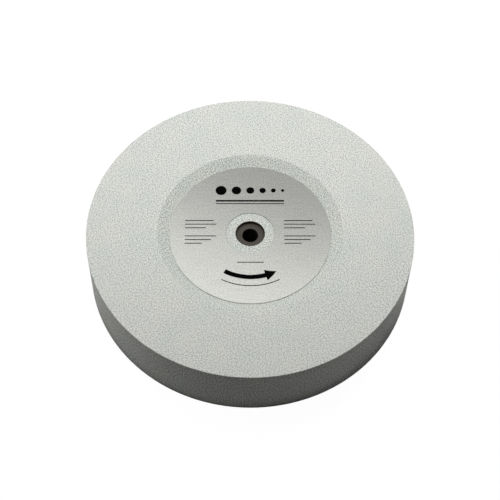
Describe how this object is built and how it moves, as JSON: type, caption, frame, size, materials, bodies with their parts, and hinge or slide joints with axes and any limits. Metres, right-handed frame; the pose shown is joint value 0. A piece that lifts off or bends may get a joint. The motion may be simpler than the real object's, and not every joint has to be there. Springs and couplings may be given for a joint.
{
  "type": "grindstone wheel",
  "caption": "Broad cylindrical grindstone for a wet grinder, recessed on both sides, with a plastic shaft bush cemented in its bore and a foil label in the front recess.",
  "frame": {"origin": "middle of the stone: on the bore's axis, half way between the two side faces", "axes": "+Z along the bore's axis, out of the side that carries the label; +X and +Y lie in the stone's mid-plane"},
  "size_m": [0.25, 0.25, 0.05],
  "materials": {
    "abrasive_stone": "matte",
    "bush_plastic": "matte",
    "bond_resin": "satin",
    "label_foil": "satin"
  },
  "bodies": {
    "root": {"stone": "abrasive_stone", "bush": "bush_plastic", "bush_bond": "bond_resin", "label": "label_foil"}
  },
  "joints": []
}
